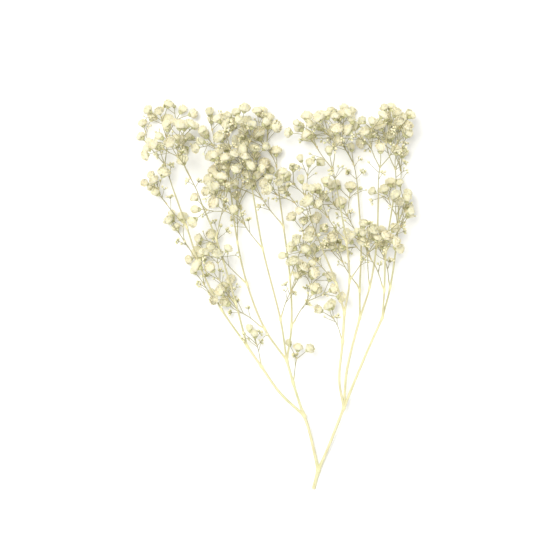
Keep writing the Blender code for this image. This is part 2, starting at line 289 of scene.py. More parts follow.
def smooth_path(points, step):
    """Points along a smooth curve through the given ones."""
    last = len(points) - 1
    tangents = [(points[min(i + 1, last)] - points[max(i - 1, 0)]).normalized() for i in range(last + 1)]
    path = [points[0]]
    for i in range(last):
        reach = (points[i + 1] - points[i]).length
        first_handle = points[i] + tangents[i] * reach / 3
        second_handle = points[i + 1] - tangents[i + 1] * reach / 3
        count = max(2, round(reach / step) + 1)
        path += interpolate_bezier(points[i], first_handle, second_handle, points[i + 1], count)[1:]
    return path


def frame_paths(step):
    """The middle line of each limb and branch, from the joint that it leaves."""
    paths = {}
    for name, (parent, _, _, joints) in FRAME.items():
        start = [paths[parent][-1]] if parent else []
        paths[name] = smooth_path(start + [place(joint) for joint in joints], step)
    return paths


coarse_paths = frame_paths(PATH_STEP)
fine_paths = frame_paths(FINE_STEP)
print(sum(len(path) for path in fine_paths.values()), "points along the limbs and branches")

# %% [markdown]
# ## A shoot
# Every twig of a spray is a shoot: it starts in a fork, ends in a flower and may bear two more shoots on
# its way. What is known of it fits in one small record, which also tells where its fork is and how the
# twig bows.

# %% A shoot
# The share of a twig's length where it forks, and how far the calyx reaches below the middle of a flower,
# as a share of its radius.
FORK_SHARE = 0.60
CALYX_FOOT = 0.97
# How much of its bow a twig takes back above its fork, and over what share of its length at least.
BOW_BACK = 0.6
SHORTEST_BOW = 0.05


@dataclass
class Shoot:
    """A twig from its foot to the middle of its flower, the way its stem goes, and how often it divides."""

    foot: Vector
    tip: Vector
    kind: str
    radius: float
    carrier: Vector
    orders: int
    bow: Vector = Vector((0, 0, 0))

    def fork(self):
        return self.foot.lerp(self.tip, FORK_SHARE)

    def along(self):
        return (self.tip - self.foot).normalized()

    def length(self):
        return (self.tip - self.foot).length

    def last(self):
        """The share of the twig's length where the calyx begins."""
        return 1 - CALYX_FOOT * self.radius / self.length()

    def bowed(self, share):
        """A point of the twig, which bows one way up to its fork and the other way above it."""
        turning = FORK_SHARE if self.orders > 1 else self.last()
        if share < turning:
            offset = math.sin(math.pi * share / turning)
        else:
            phase = math.pi * (share - turning) / max(self.last() - turning, SHORTEST_BOW)
            offset = -BOW_BACK * math.sin(phase)
        return self.foot.lerp(self.tip, share) + self.bow * offset


print(f"a twig forks at {FORK_SHARE:.0%} of its length")

# %% [markdown]
# ## Distances between lines
# Flowers push past each other until each has air round it. To test that, all that has grown so far is
# kept as thick lines: a twig is a line, and a flower is a line with no length. The distances from a new
# line to all the others are worked out at once, which is much quicker than one by one.

# %% Distances between lines
def line_distances(start, end, starts, ends):
    """The shortest distances from one straight line to each of many."""
    tiny = 1e-18
    along = end - start
    alongs = ends - starts
    between = start - starts
    square = max(along @ along, tiny)
    squares = np.maximum(np.sum(alongs * alongs, axis=1), tiny)
    products = alongs @ along
    ahead = between @ along
    aheads = np.sum(alongs * between, axis=1)
    spread = np.maximum(square * squares - products**2, tiny)
    shares = np.clip((products * aheads - squares * ahead) / spread, 0, 1)
    others = np.clip((products * shares + aheads) / squares, 0, 1)
    shares = np.clip((products * others - ahead) / square, 0, 1)
    return np.linalg.norm(between + shares[:, None] * along - others[:, None] * alongs, axis=1)


crossing = line_distances(np.zeros(3), np.array([1, 0, 0]), np.array([[0.5, -1, 2]]), np.array([[0.5, 1, 2]]))
print("two lines that cross 2 apart are", crossing[0], "apart")

# %% [markdown]
# ## Room to grow
# A new shoot may grow where it leaves a gap to all the others. It may touch its own spray near the fork
# that it leaves, and its branch near its foot, because it is joined to them there.

# %% Room to grow
JOINT_GAP = 0.3 * MM
PASSING_GAP = 0.45 * MM
FORK_REACH = 4 * MM
FOOT_REACH = 1.5 * MM
TWIG_RADIUS = 0.42 * MM


class Space:
    """The space that is taken: thick lines, each with the name of the spray or branch that it belongs to."""

    def __init__(self):
        self.starts = []
        self.ends = []
        self.radii = []
        self.owners = []

    def take(self, owner, start, end, radius):
        self.starts.append(tuple(start))
        self.ends.append(tuple(end))
        self.radii.append(radius)
        self.owners.append(owner)

    def take_path(self, owner, path, radius):
        for start, end in zip(path, path[1:]):
            self.take(owner, start, end, radius)

    def is_clear(self, chosen, start, end, radius):
        """Whether a thick line passes clear of the chosen ones."""
        if not chosen.any():
            return True
        starts = np.array(self.starts)[chosen]
        ends = np.array(self.ends)[chosen]
        radii = np.array(self.radii)[chosen]
        gaps = line_distances(np.array(start), np.array(end), starts, ends) - radii - radius
        return gaps.min() > PASSING_GAP

    def has_room_for(self, owner, shoot, is_first):
        """Whether a shoot is clear of its spray past the fork it leaves, and of all else past its foot."""
        own = np.array([name == owner for name in self.owners])
        past_fork = shoot.foot + shoot.along() * FORK_REACH
        past_foot = shoot.foot + shoot.along() * (FOOT_REACH if is_first else 0)
        return (
            self.is_clear(own, past_fork, shoot.tip, TWIG_RADIUS)
            and self.is_clear(~own, past_foot, shoot.tip, TWIG_RADIUS)
            and self.is_clear(own | ~own, shoot.tip, shoot.tip, shoot.radius)
        )

    def take_shoot(self, owner, shoot):
        self.take(owner, shoot.foot, shoot.tip, TWIG_RADIUS)
        self.take(owner, shoot.tip, shoot.tip, shoot.radius)


print("each flower keeps at least", PASSING_GAP / MM, "mm of air round it")

# %% [markdown]
# ## The outline of the crown
# The flowers of the whole stem keep to one outline, a fan with a flat top, because each grew to the
# light. A flower that would stand outside it is tried again elsewhere.

# %% The outline of the crown
CROWN_LEFT = ((-57, 95), (-113, 200))
CROWN_RIGHT = ((40, 95), (64, 170))
CROWN_TOP = 249
CROWN_DEPTH = 56


def is_in_crown(point, radius):
    """Whether a ball lies inside the outline of the crown."""
    x, y, z = (point - CUT_END) / MM
    reach = radius / MM
    (left_foot, foot_height), (left, left_height) = CROWN_LEFT
    (right_foot, _), (right, right_height) = CROWN_RIGHT
    left_edge = left_foot + (left - left_foot) * min(1, (y - foot_height) / (left_height - foot_height))
    right_edge = right_foot + (right - right_foot) * min(1, (y - foot_height) / (right_height - foot_height))
    is_between = left_edge < x - reach and x + reach < right_edge
    return is_between and y + reach < CROWN_TOP and z + reach < CROWN_DEPTH


print("the crown may be", CROWN_RIGHT[1][0] - CROWN_LEFT[1][0], "mm wide and", CROWN_DEPTH, "mm deep")

# %% [markdown]
# ## How a spray grows
# The flowers stand in cymes. Each shoot ends in a flower and bears a pair of side shoots below it, which
# do the same, with each pair turned a quarter round from the last. Such a spray could be drawn by hand,
# but nearly forty of them would take days, so the rule is written down and a seeded random draw gives
# each shoot its play.

# %% How a spray grows
SHOOT_LENGTHS = [(9.0, 12.5), (16.0, 21.0), (24.0, 30.0), (26.0, 32.0)]
FORK_ANGLES = [math.radians(angle) for angle in (36, 30, 27)]
ANGLE_PLAY = math.radians(5)
TURN_PLAY = math.radians(25)
FLATNESS = 0.75
BUD_SHARE = 0.12
BUD_RADIUS = 1.3 * MM
BLOOM_RADII = (3.0, 4.3)
HALF_OPEN_SHARE = 0.3
PRESSED_BY = 1.0 * MM
TRIES = 100
LOOSEST = 3


def leaning(along, angle, turn):
    """A direction at an angle to another, on the side that a turn about that one gives, and rather level."""
    side = Matrix.Rotation(turn, 3, along) @ along.cross(UP).normalized()
    direction = along * math.cos(angle) + side * math.sin(angle)
    direction.z *= FLATNESS
    return direction.normalized()


def draw_shoot(rng, foot, along, angle, turn, orders, kind, looseness):
    """One way in which a shoot may grow; the play in its direction grows with the looseness."""
    length = rng.uniform(*SHOOT_LENGTHS[orders - 1]) * MM
    angle += rng.uniform(-1, 1) * ANGLE_PLAY * (1 + looseness)
    turn += rng.uniform(-1, 1) * TURN_PLAY * (1 + 2 * looseness)
    radius = BUD_RADIUS if kind == "bud" else rng.uniform(*BLOOM_RADII) * MM
    tip = foot + leaning(along, angle, turn) * length
    tip.z = max(tip.z, radius - (PRESSED_BY if kind == "open" else -JOINT_GAP))
    return Shoot(foot, tip, kind, radius, along, orders)


def grow(space, rng, owner, foot, along, angle, turn, orders, is_first=False):
    """Grow a shoot where there is room, then its side shoots, and return them all."""
    kind = "half_open" if rng.random() < HALF_OPEN_SHARE else "open"
    if orders == 1 and rng.random() < BUD_SHARE:
        kind = "bud"
    for attempt in range(TRIES):
        shoot = draw_shoot(rng, foot, along, angle, turn, orders, kind, LOOSEST * attempt / TRIES)
        if is_in_crown(shoot.tip, shoot.radius) and space.has_room_for(owner, shoot, is_first):
            break
    else:
        return []
    space.take_shoot(owner, shoot)
    shoots = [shoot]
    if orders > 1:
        next_angle = FORK_ANGLES[orders - 2]
        for next_turn in (turn + math.pi / 2, turn - math.pi / 2):
            shoots += grow(space, rng, owner, shoot.fork(), shoot.along(), next_angle, next_turn, orders - 1)
    return shoots


print("a spray that divides 4 times could bear", 2**4 - 1, "flowers")

# %% [markdown]
# ## Growing all the sprays
# The sprays grow one after the other, from the last joint of each branch down, so that the tips get the
# best room. A side spray starts on a short foot that leans away from its branch. The order and the seeds
# are the ones of the solids, so each flower stands where its solid does, and the boxes of the solids are
# the proof of it.

# %% Growing all the sprays
SPRAY_ANGLE = math.radians(27)
SIDES = {"right": 0, "down": math.pi / 2, "left": math.pi, "up": -math.pi / 2}
SHORTEST_FOOT = 3.6 * MM


def grow_sprays(space, paths):
    """Grow the spray of each joint. Returns their shoots and the joints that they leave."""
    for name, path in paths.items():
        space.take_path(name, path, FRAME[name][1] * MM)
    sprays = {}
    roots = {}
    for name, (_, _, _, joints) in reversed(FRAME.items()):
        bearing = [joint for joint in joints if len(joint) > 3]
        for number, joint in reversed(list(enumerate(bearing, 1))):
            at = place(joint)
            orders, side = joint[3:]
            spray = f"{name}_spray_{number}"
            roots[spray] = (at, FRAME[name][2] * MM if side == "end" else 0)
            rng = random.Random(spray)
            nearest = min(range(1, len(paths[name])), key=lambda i: (paths[name][i] - at).length)
            along = (paths[name][nearest] - paths[name][nearest - 1]).normalized()
            turn = rng.uniform(0, math.pi)
            if side != "end":
                turn = SIDES[side] + rng.uniform(-1, 1) * TURN_PLAY
                along = leaning(along, SPRAY_ANGLE, turn)
                foot = at + along * SHORTEST_FOOT
                space.take(spray, at, foot, TWIG_RADIUS)
                at = foot
            start = at + along * JOINT_GAP
            sprays[spray] = grow(space, rng, spray, start, along, 0, turn, orders, True)
    return sprays, roots


space = Space()
sprays, roots = grow_sprays(space, coarse_paths)
strays = 0
for name, shoots in sprays.items():
    low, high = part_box(name)
    strays += sum(any(not low[i] < shoot.tip[i] < high[i] for i in range(3)) for shoot in shoots)
print(sum(map(len, sprays.values())), "flowers and buds,", strays, "of them outside their solid's box")

# %% [markdown]
# ## Finishing a piece
# Every new piece ends in the same few steps. Its mesh is shaded smooth, except over edges sharper than a
# bend in a petal or in the bark, and the piece rides on the part's only body and stands for the solid
# that it replaces. Low petals are pressed against the table. Cutting them off there would leave holes, so
# their lowest points are eased towards the table instead, which keeps the petals in their order.

# %% Finishing a piece
SHARP_FROM = math.radians(70)
PRESS_HEIGHT = 0.5 * MM


def press(bm):
    """Ease all that is low towards the table, so that nothing reaches below it."""
    for vert in bm.verts:
        if vert.co.z < PRESS_HEIGHT:
            vert.co.z = PRESS_HEIGHT * math.exp(vert.co.z / PRESS_HEIGHT - 1)


def finish_piece(name, bm, node, materials):
    """Turn a bmesh into a piece that rides on the part and stands for a solid."""
    press(bm)
    mesh = mesh_of(name, bm)
    for material in materials:
        mesh.materials.append(material)
    mesh.shade_smooth()
    mesh.set_sharp_from_angle(angle=SHARP_FROM)
    piece = add_object(name, mesh)
    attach(piece, "root")
    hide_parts(node)
    return piece


print("edges stay sharp from", round(math.degrees(SHARP_FROM)), "degrees up")

# %% [markdown]
# ## Dried bark
# A living gypsophila stem is green with a bloom of wax. Bleached and dried, its thick parts are pale
# straw, and the thinner a twig is, the more it stays a grey olive. Fine grooves run along it. They follow
# the stem, so the pattern is drawn on the piece's own UV map, once round it and in metres along it, and
# not in space. How thin the stem is comes from an attribute that each ring of it gets. Dried bark has no
# gloss.

# %% Dried bark
GROOVES_ROUND = 22
GROOVE_LENGTH = 9 * MM
BARK_PATCH = 22 * MM
GROOVE_DEPTH = 0.08 * MM


def paint(tree, colour, *coats):
    """Paint coats of other colours over a colour, each as thick as its factor says. Returns the output."""
    for factor, coat in coats:
        sockets = {"Factor": factor, COLOUR_A: colour, COLOUR_B: coat}
        colour = add_node(tree, "ShaderNodeMix", sockets, data_type="RGBA").outputs[MIXED]
    return colour


def mottling(tree, place, scale, detail):
    """Soft spots, from 0 to 1. The noise keeps close to a half of itself, so it is spread out."""
    spots = add_node(tree, "ShaderNodeTexNoise", {"Vector": place, "Scale": scale, "Detail": detail})
    spread = {"Value": spots.outputs["Fac"], "From Min": 0.3, "From Max": 0.7}
    return add_node(tree, "ShaderNodeMapRange", spread).outputs["Result"]


def dried_bark():
    """Straw-coloured bark with grooves along it, paler joints and grey-olive twigs."""
    material, tree, shader = matt_material("dried_straw_bark", 0.62, 0.3)
    around_along = add_node(tree, "ShaderNodeUVMap", {}, uv_map="around_and_along").outputs["UV"]
    stretch = (GROOVES_ROUND, 1 / GROOVE_LENGTH, 1)
    stretched = add_node(tree, "ShaderNodeMapping", {"Vector": around_along, "Scale": stretch})
    grooves = mottling(tree, stretched.outputs["Vector"], 1.0, 3.0)
    in_space = add_node(tree, "ShaderNodeTexCoord", {}).outputs["Object"]
    patches = mottling(tree, in_space, 1 / BARK_PATCH, 2.0)
    joint = add_node(tree, "ShaderNodeAttribute", {}, attribute_name="joint").outputs["Fac"]
    thinness = add_node(tree, "ShaderNodeAttribute", {}, attribute_name="thinness").outputs["Fac"]
    above_grooves = {"Value": grooves, "From Min": 0.1, "From Max": 0.5}
    skin = add_node(tree, "ShaderNodeMapRange", above_grooves, interpolation_type="SMOOTHSTEP")
    in_twigs = {"Value": thinness, "From Min": 0.35, "From Max": 0.85, "To Max": 0.9}
    how_olive = add_node(tree, "ShaderNodeMapRange", in_twigs).outputs["Result"]
    how_pale = add_node(tree, "ShaderNodeMath", {0: joint, 1: 0.6}, operation="MULTIPLY").outputs["Value"]
    patched = paint(tree, srgb("#e4d6b0"), (patches, srgb("#ccd19d")))
    olive = paint(tree, srgb("#79754d"), (grooves, srgb("#a39d71")))
    straw = paint(tree, srgb("#a0975f"), (skin.outputs["Result"], srgb("#e2dcb4")), (0.45, patched))
    colour = paint(tree, straw, (how_olive, olive), (how_pale, srgb("#e6dfae")))
    bump = add_node(tree, "ShaderNodeBump", {"Height": grooves, "Strength": 0.8, "Distance": GROOVE_DEPTH})
    tree.links.new(colour, shader.inputs["Base Color"])
    tree.links.new(bump.outputs["Normal"], shader.inputs["Normal"])
    return material


BARK = dried_bark()
girth = math.tau * FRAME["main_stem"][2]
print("grooves about", round(girth / GROOVES_ROUND, 2), "mm apart on the main stem")

# %% [markdown]
# ## Pith and scales
# The cut end shows the pith, white and porous. The bracts, the dry scales at the forks, are tan and thin
# as skin, with browner specks.

# %% Pith and scales
# The real pores are a fifth of this. They are drawn as coarse as they need to show.
PORE_SIZE = 0.25 * MM
SPECK_SIZE = 0.6 * MM


def speckled(name, size, first, second, roughness):
    """A matt material whose colour goes from one to another in specks."""
    material, tree, shader = matt_material(name, roughness, 0.25)
    in_space = add_node(tree, "ShaderNodeTexCoord", {}).outputs["Object"]
    specks = mottling(tree, in_space, 1 / size, 2.0)
    tree.links.new(paint(tree, srgb(first), (specks, srgb(second))), shader.inputs["Base Color"])
    return material


PITH = speckled("dried_pith", PORE_SIZE, "#cdbf8e", "#f5efd6", 0.9)
SCALE = speckled("dried_tan_scale", SPECK_SIZE, "#ab9765", "#dccb9c", 0.7)
print("materials:", PITH.name, SCALE.name)

# %% [markdown]
# ## Sweeping a stem
# A stem is a round section that runs along a line and swells at its joints. A curve with a bevel would
# do, but its section is a plain circle. Here one ring is made, every second point of it is drawn in for
# the ribs of dried bark, and the ring is extruded along the line, each new ring moved and resized by a
# matrix. The ends are closed.

# %% Sweeping a stem
RIB_DEPTH = 0.07
THICKEST = FRAME["main_stem"][1] * MM
STEM_FLOATS = ("around", "far", "joint", "thinness")


def ring_edges(bm, ring):
    """The edges between the points of a ring, in their order."""
    return [bm.edges.get(pair) for pair in zip(ring, ring[1:] + ring[:1])]


def ring_frame(path, i, radius):
    """The matrix that puts a ring of radius 1 on a point of a path, square to it."""
    along = path[min(i + 1, len(path) - 1)] - path[max(i - 1, 0)]
    upright = along.to_track_quat("Z", "Y").to_matrix().to_4x4()
    return Matrix.Translation(path[i]) @ upright @ Matrix.Scale(radius, 4)


def stem_layers(bm):
    """The layers that the bark needs: the place round and along the stem, its joints and how thin it is."""
    floats = [bm.verts.layers.float.get(name) or bm.verts.layers.float.new(name) for name in STEM_FLOATS]
    return *floats, bm.loops.layers.uv.get("around_and_along") or bm.loops.layers.uv.new("around_and_along")


def sweep(bm, path, radii, joints, sides, rib=RIB_DEPTH):
    """Sweep a ribbed ring along a path. Returns the face that closes its start."""
    around, far, joint, thinness, uv = stem_layers(bm)
    frames = [ring_frame(path, i, radius) for i, radius in enumerate(radii)]
    ring = bmesh.ops.create_circle(bm, segments=sides, radius=1)["verts"]
    edges = ring_edges(bm, ring)
    for i, vert in enumerate(ring):
        vert[around] = i / sides
        vert[joint] = joints[0]
        vert[thinness] = 1 - radii[0] / THICKEST
        vert.co = frames[0] @ (vert.co * (1 - rib * (i % 2)))
    start = bmesh.ops.edgeloop_fill(bm, edges=edges)["faces"]
    faces = set(start)
    walked = 0
    for i in range(1, len(path)):
        step = frames[i] @ frames[i - 1].inverted()
        walked += (path[i] - path[i - 1]).length
        geometry = bmesh.ops.extrude_edge_only(bm, edges=edges)["geom"]
        edges = [item for item in geometry if isinstance(item, bmesh.types.BMEdge) and item.is_boundary]
        for vert in (item for item in geometry if isinstance(item, bmesh.types.BMVert)):
            vert.co = step @ vert.co
            vert[far] = walked
            vert[joint] = joints[i]
            vert[thinness] = 1 - radii[i] / THICKEST
            faces |= {face for face in vert.link_faces if len(face.verts) == 4}
    faces |= set(bmesh.ops.edgeloop_fill(bm, edges=edges)["faces"])
    for face in faces:
        turns = [loop.vert[around] for loop in face.loops]
        for loop, turn in zip(face.loops, turns):
            loop[uv].uv = (turn + (max(turns) - turn > 0.5), loop.vert[far])
    return start[0]


print("ribs of", round(RIB_DEPTH * THICKEST / MM, 3), "mm on the main stem")

# %% [markdown]
# ## The limbs and branches
# Each joint of a gypsophila stem is a swollen knot, half as thick again as the stem. Each limb starts in
# the knot of the one below, flared so that the fork has a web, and ends in one of its own, closed with a
# small dome. Where a branch goes on into its last spray, it just thins out. The thickness wavers a
# little, as it does when a stem dries. At the cut end, an inset face sunk a little shows the pith inside
# the skin.

# %% The limbs and branches
SWELLING = 0.50
SWELLING_REACH = 1.6 * MM
FLARE = 0.35
FLARE_REACH = 3.0 * MM
WAVER = 0.05
WAVER_LENGTH = 6 * MM
LIMB_SIDES = 16
SKIN_THICKNESS = 0.3 * MM
PITH_SINKING = 0.15 * MM
DOME = [(0.55, 1.22), (0.9, 0.85), (1.1, 0.35)]
EXTRA_POINTS = (0.25, 0.5, 0.75)


def closeness(distance, reach):
    """1 at no distance, about a third at the reach and next to nothing at twice the reach."""
    return math.exp(-((distance / reach) ** 2))


def limb_profile(name):
    """The path of a limb, and for each of its points the radius and how much it is part of a joint."""
    _, foot_radius, tip_radius, joints = FRAME[name]
    knotted = [joint for joint in joints if len(joint) > 3 or joint == joints[-1]]
    knots = [place(joint) for joint in knotted if joint[-1] != "end"]
    path = list(fine_paths[name])
    radii = []
    marks = []
    for i, point in enumerate(path):
        taper = foot_radius + (tip_radius - foot_radius) * i / (len(path) - 1)
        nearness = max((closeness((point - knot).length, SWELLING_REACH) for knot in knots), default=0)
        flare = closeness((point - path[0]).length, FLARE_REACH) if FRAME[name][0] else 0
        wavering = 1 + WAVER * noise.noise(point / WAVER_LENGTH)
        radii.append(taper * MM * wavering * (1 + SWELLING * nearness + FLARE * flare))
        marks.append(max(nearness, flare))
    if knots and (knots[-1] - path[-1]).length < JOINT_GAP:
        onward = (path[-1] - path[-2]).normalized()
        for ahead, share in DOME:
            path.append(fine_paths[name][-1] + onward * ahead * tip_radius * MM)
            radii.append(share * tip_radius * MM)
            marks.append(1)
    return path, radii, marks


def refine_joints(path, joints):
    """Add points close to either side of each joint, where the swelling needs them."""
    full = [path[0]]
    for before, point in zip(path, path[1:]):
        near = any(min((before - knot).length, (point - knot).length) < JOINT_GAP for knot in joints)
        if near:
            full += [before.lerp(point, share) for share in EXTRA_POINTS]
        full.append(point)
    return full


for name, (_, _, _, joints) in FRAME.items():
    fine_paths[name] = refine_joints(fine_paths[name], [place(joint) for joint in joints])
    bm = bmesh.new()
    path, radii, marks = limb_profile(name)
    foot_face = sweep(bm, path, radii, marks, LIMB_SIDES)
    bmesh.ops.recalc_face_normals(bm, faces=bm.faces)
    if not FRAME[name][0]:
        bmesh.ops.inset_individual(bm, faces=[foot_face], thickness=SKIN_THICKNESS, depth=-PITH_SINKING)
        foot_face.material_index = 1
    finish_piece(f"{name}_bark", bm, name, [BARK, PITH])
print(len(FRAME), "limbs and branches in bark")

# %% [markdown]
# ## Dried petals
# A petal of gypsophila is a white spoon with a notched tip. Dried, it is papery: ivory at the rim,
# greener down at the claw, with faint veins along it and small crumples all over. The darker olive at the
# claw is partly its own green and partly painted shade, where the petals lie deep in the flower. It lets
# some light through, which the shader's subsurface part does. No two flowers are quite the same colour,
# so each carries a tint of its own.

# %% Dried petals
VEINS_ACROSS = 9
WRINKLE_DEPTH = 0.10 * MM
CRUMPLE_SIZE = 0.9 * MM
CRUMPLE_DEPTH = 0.10 * MM
LIGHT_REACH = 0.4 * MM


def dried_petal():
    """Papery ivory petals with veins and crumples, olive at the claw: partly own green, partly painted shade.
    """
    material, tree, shader = matt_material("dried_ivory_petal", 0.8, 0.2)
    uv = add_node(tree, "ShaderNodeUVMap", {}, uv_map="petal").outputs["UV"]
    reach = add_node(tree, "ShaderNodeSeparateXYZ", {"Vector": uv}).outputs["Y"]
    stretch = (VEINS_ACROSS, 1.2, 1)
    stretched = add_node(tree, "ShaderNodeMapping", {"Vector": uv, "Scale": stretch}).outputs["Vector"]
    veins = mottling(tree, stretched, 1.0, 2.0)
    in_space = add_node(tree, "ShaderNodeTexCoord", {}).outputs["Object"]
    crumples = mottling(tree, in_space, 1 / CRUMPLE_SIZE, 3.0)
    tint = add_node(tree, "ShaderNodeAttribute", {}, attribute_name="tint").outputs["Fac"]
    body = paint(tree, srgb("#e0dfc4"), (tint, srgb("#f5ecd0")))
    past_shaded_claw = {"Value": reach, "From Min": 0.05, "From Max": 0.5}
    out_of_shaded_claw = add_node(tree, "ShaderNodeMapRange", past_shaded_claw, interpolation_type="SMOOTHSTEP")
    veined = paint(tree, srgb("#e5dcb6"), (veins, body))
    # The olive of the claw is partly the petal's own green and partly painted shade deep in the flower.
    colour = paint(tree, srgb("#b8b380"), (out_of_shaded_claw.outputs["Result"], veined))
    wrinkled = add_node(tree, "ShaderNodeBump", {"Height": veins, "Strength": 0.6, "Distance": WRINKLE_DEPTH})
    over_wrinkles = {"Height": crumples, "Strength": 0.7, "Distance": CRUMPLE_DEPTH}
    crumpled = add_node(tree, "ShaderNodeBump", {**over_wrinkles, "Normal": wrinkled.outputs["Normal"]})
    tree.links.new(colour, shader.inputs["Base Color"])
    tree.links.new(crumpled.outputs["Normal"], shader.inputs["Normal"])
    shader.inputs["Subsurface Weight"].default_value = 0.45
    shader.inputs["Subsurface Radius"].default_value = (1.0, 0.9, 0.6)
    shader.inputs["Subsurface Scale"].default_value = LIGHT_REACH
    return material


PETAL = dried_petal()
print("crumples about", CRUMPLE_SIZE / MM, "mm across")

# %% [markdown]
# ## Dried calyx
# Under the petals sits the calyx, a small bell with five teeth. It stays greener than the petals, with
# paler spots, and its skin is matt.

# %% Dried calyx
CALYX = speckled("dried_calyx_skin", CRUMPLE_SIZE, "#a9aa72", "#dcd9ae", 0.7)
print("materials:", BARK.name, PETAL.name, CALYX.name)

# %% [markdown]
# ## One petal
# A petal could be cut from a flat sheet and bent by a modifier, but it must follow the ball of the
# flower. So a small grid is rolled into shape by a formula: its length follows a curve from the claw to
# the rim, seen from the side, and its width spreads from a narrow claw to a broad notched rim that
# ripples. Noise read at three far apart places gives its crumples three directions. All lengths are
# shares of the flower's radius, with the middle of the flower at zero and its stalk below.

# %% One petal
PETAL_ACROSS = 5
PETAL_ALONG = 4
CLAW_WIDTH = 0.24
NOTCH = 0.14
NOTCH_WIDTH = 0.3
CORNERS = 0.22
CUPPING = 0.45
CRUMPLING = 0.11
FOLDS = 2.3
NOISE_SHIFTS = (0, 11.3, 23.7)
REACHES = (-0.10, 0.06)
LIFTS = (-0.10, 0.10)
WAVES = (1.3, 2.1)
BROADENING = 1.15
RIPPLE_LIFT = 0.4


@dataclass
class Whorl:
    """A ring of petals: how many there are, the start, pull and end of their curve as radius and height,
    half their width, and how deep they ripple."""

    count: int
    start: tuple
    pull: tuple
    end: tuple
    width: float
    ripple: float


def bend_point(whorl, share, reach, lift):
    """The radius and height of a petal's middle line at a share of its length."""
    ends = zip(whorl.start, whorl.pull, (whorl.end[0] + reach, whorl.end[1] + lift))
    return [a * (1 - share) ** 2 + 2 * b * share * (1 - share) + c * share**2 for a, b, c in ends]


def crumple(point):
    """A pull that changes smoothly from place to place, the same in each run."""
    return Vector([noise.noise(point + UP * shift) for shift in NOISE_SHIFTS])


def add_petal(bm, uv, whorl, turn, rng):
    """Add a petal as a thin sheet, on the side that the turn gives, with a part of the pattern to itself."""
    made = bmesh.ops.create_grid(bm, x_segments=PETAL_ACROSS, y_segments=PETAL_ALONG, size=1, calc_uvs=True)
    shift = rng.randrange(1000)
    for loop in (loop for vert in made["verts"] for loop in vert.link_loops):
        loop[uv].uv.x += shift
    phase = rng.uniform(0, math.tau)
    waves = rng.uniform(*WAVES)
    reach = rng.uniform(*REACHES)
    lift = rng.uniform(*LIFTS)
    own_place = Vector([rng.uniform(0, 50) for _ in range(3)])
    for vert in made["verts"]:
        across, along = vert.co.x, (vert.co.y + 1) / 2
        rim = 1 - NOTCH * closeness(across, NOTCH_WIDTH) - CORNERS * across**4
        share = along * (1 + (rim - 1) * along)
        radius, height = bend_point(whorl, share, reach, lift)
        breadth = math.sin(math.pi / 2 * min(1, share * BROADENING)) ** 2
        spread = whorl.width * (CLAW_WIDTH + (1 - CLAW_WIDTH) * breadth)
        ripple = whorl.ripple * along**1.5 * math.sin(waves * math.pi * across + phase)
        aside = across * spread
        radius += ripple - CUPPING * aside**2
        point = Vector((radius, aside, height + RIPPLE_LIFT * ripple))
        point += crumple(point * FOLDS + own_place) * CRUMPLING * along
        vert.co = Matrix.Rotation(turn, 3, "Z") @ point


print("a petal is a sheet of", PETAL_ACROSS * PETAL_ALONG, "faces")

# %% [markdown]
# ## The calyx
# The calyx is a turned shape with five parts, and a lathe would lose its teeth. A ring of ten points
# whose radii and heights take turns has five of them, so the bell is a few such rings bridged from the
# stalk up, and then it gets a wall.

# %% The calyx
FLOWER_CALYX = [
    ((0.10, 0.10), (-0.99, -0.99)),
    ((0.24, 0.23), (-0.93, -0.93)),
    ((0.32, 0.30), (-0.80, -0.80)),
    ((0.50, 0.34), (-0.59, -0.66)),
]
BUD_CALYX = [
    ((0.14, 0.14), (-1.02, -1.02)),
    ((0.50, 0.47), (-0.86, -0.86)),
    ((0.78, 0.74), (-0.44, -0.44)),
    ((0.84, 0.80), (0.30, -0.12)),
]
CALYX_WALL = 0.04


def add_ring(bm, radii, heights):
    """Add a ring of ten points whose radii and heights take turns, and return its edges."""
    ring = bmesh.ops.create_circle(bm, segments=10, radius=1)["verts"]
    for i, vert in enumerate(ring):
        vert.co = Vector((vert.co.x * radii[i % 2], vert.co.y * radii[i % 2], heights[i % 2]))
    return ring_edges(bm, ring)


def add_calyx(bm, rings):
    """Add a bell with five teeth and a thin wall, as the second material."""
    rings = [add_ring(bm, radii, heights) for radii, heights in rings]
    faces = list(bmesh.ops.edgeloop_fill(bm, edges=rings[0])["faces"])
    for lower, upper in zip(rings, rings[1:]):
        faces += bmesh.ops.bridge_loops(bm, edges=lower + upper)["faces"]
    bmesh.ops.recalc_face_normals(bm, faces=faces)
    bmesh.ops.solidify(bm, geom=faces, thickness=-CALYX_WALL)
    for face in bm.faces:
        face.material_index = 1


print("a calyx is bridged from", len(FLOWER_CALYX), "rings of ten points")

# %% [markdown]
# ## The buds
# A bud is a ball with five furrows that wind a little, where its petals lap over each other. A large one
# sits in a calyx. The smallest have a few dozen faces each, because there are hundreds of them, so their
# lower faces are their calyx.

# %% The buds
BUD_WIDTH = 0.80
BUD_FURROW = 0.16
BUD_TWIST = 0.9
# How high the calyx of a small bud reaches, between its teeth and at them.
SMALL_CALYX = (-0.35, 0.1)


def add_furrowed_ball(bm, uv, u_segments, v_segments):
    """Add a ball of radius 1 with five winding furrows, and return its faces."""
    ball = bmesh.ops.create_uvsphere(bm, u_segments=u_segments, v_segments=v_segments, radius=1)["verts"]
    for vert in ball:
        turn = math.atan2(vert.co.y, vert.co.x) + BUD_TWIST * vert.co.z
        width = BUD_WIDTH * (1 - BUD_FURROW * (1 + math.cos(5 * turn)) / 2)
        vert.co = Vector((vert.co.x * width, vert.co.y * width, vert.co.z * 0.98))
    faces = {face for vert in ball for face in vert.link_faces}
    for face in faces:
        for loop in face.loops:
            # Its colours are a petal's, from above the claw nearly to the rim. Its lower side keeps
            # some of the claw's olive, which is partly painted shade.
            loop[uv].uv = (0.5, 0.6 + 0.3 * loop.vert.co.z)
    return faces


